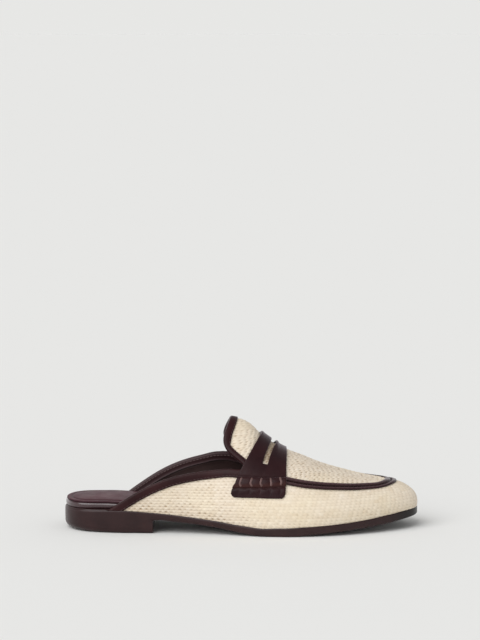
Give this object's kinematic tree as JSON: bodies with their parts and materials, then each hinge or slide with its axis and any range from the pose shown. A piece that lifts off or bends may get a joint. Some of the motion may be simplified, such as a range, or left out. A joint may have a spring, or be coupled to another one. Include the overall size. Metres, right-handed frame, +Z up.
{
  "type": "mule",
  "caption": "Backless loafer mule for the right foot: woven upper with leather edging, slotted saddle strap, rolled apron seam and a low block heel.",
  "frame": {"origin": "middle of the bounding box, on the floor the shoe stands on", "axes": "+X towards the toe, +Y towards the inner side of the foot, +Z up"},
  "size_m": [0.256, 0.0856, 0.0812],
  "materials": {
    "raffia": "woven cream straw cloth with a fabric lining",
    "trim": "smooth dark burgundy-brown, soft sheen",
    "insole": "smooth dark brown, slightly glossy",
    "sole": "dark stained and waxed edge"
  },
  "bodies": {
    "root": {"outsole": "sole", "heel": "sole", "insole_rand": "insole", "insole": "insole", "upper": "raffia", "topline_binding_lateral": "trim", "topline_binding_medial": "trim", "tongue_binding": "trim", "apron_trim": "trim", "saddle_strap": "trim"}
  },
  "joints": []
}
